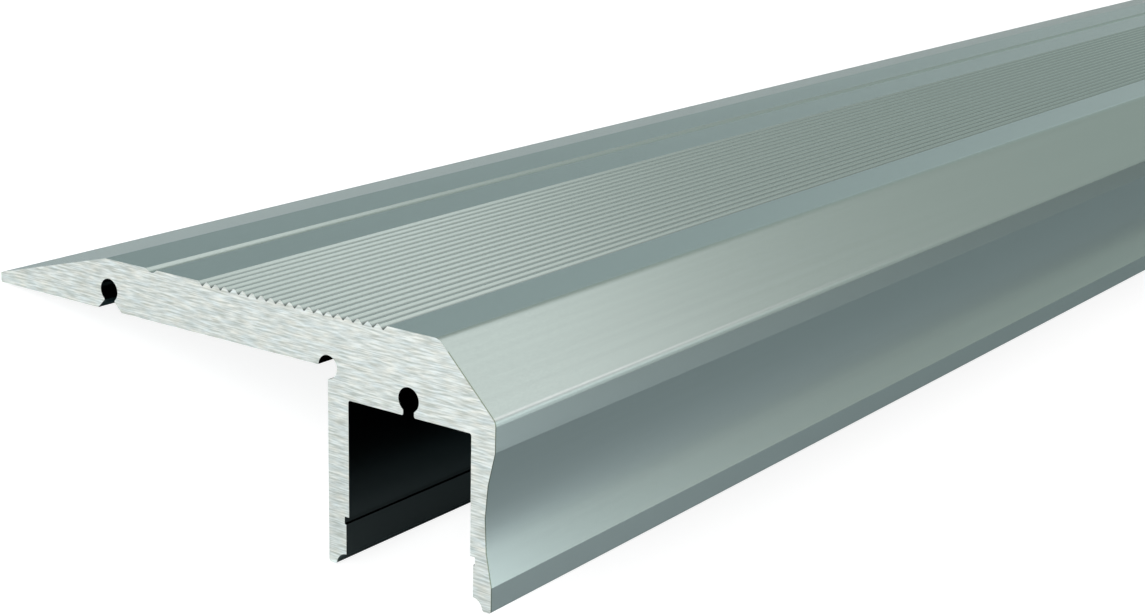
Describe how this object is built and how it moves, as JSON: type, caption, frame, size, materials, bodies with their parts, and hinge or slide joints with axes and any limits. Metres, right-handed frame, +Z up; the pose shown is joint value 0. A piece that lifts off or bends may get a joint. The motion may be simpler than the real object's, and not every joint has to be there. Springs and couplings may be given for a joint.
{
  "type": "aluminium stair nosing profile",
  "caption": "Straight extruded stair nosing with a bevelled, ridged tread flange, a chamfered and coved nose and a light channel open downwards between its legs.",
  "frame": {"origin": "on the floor, under the middle of the box that holds the stock as it rests", "axes": "+Y along the extrusion, +X across it towards the nose, +Z up from the floor it rests on"},
  "size_m": [0.0566, 1, 0.0229],
  "materials": {
    "anodised_aluminium": "satin natural anodised faces, with bright fine-sawn ends"
  },
  "bodies": {
    "root": {"stair_profile": "anodised_aluminium"}
  },
  "joints": []
}
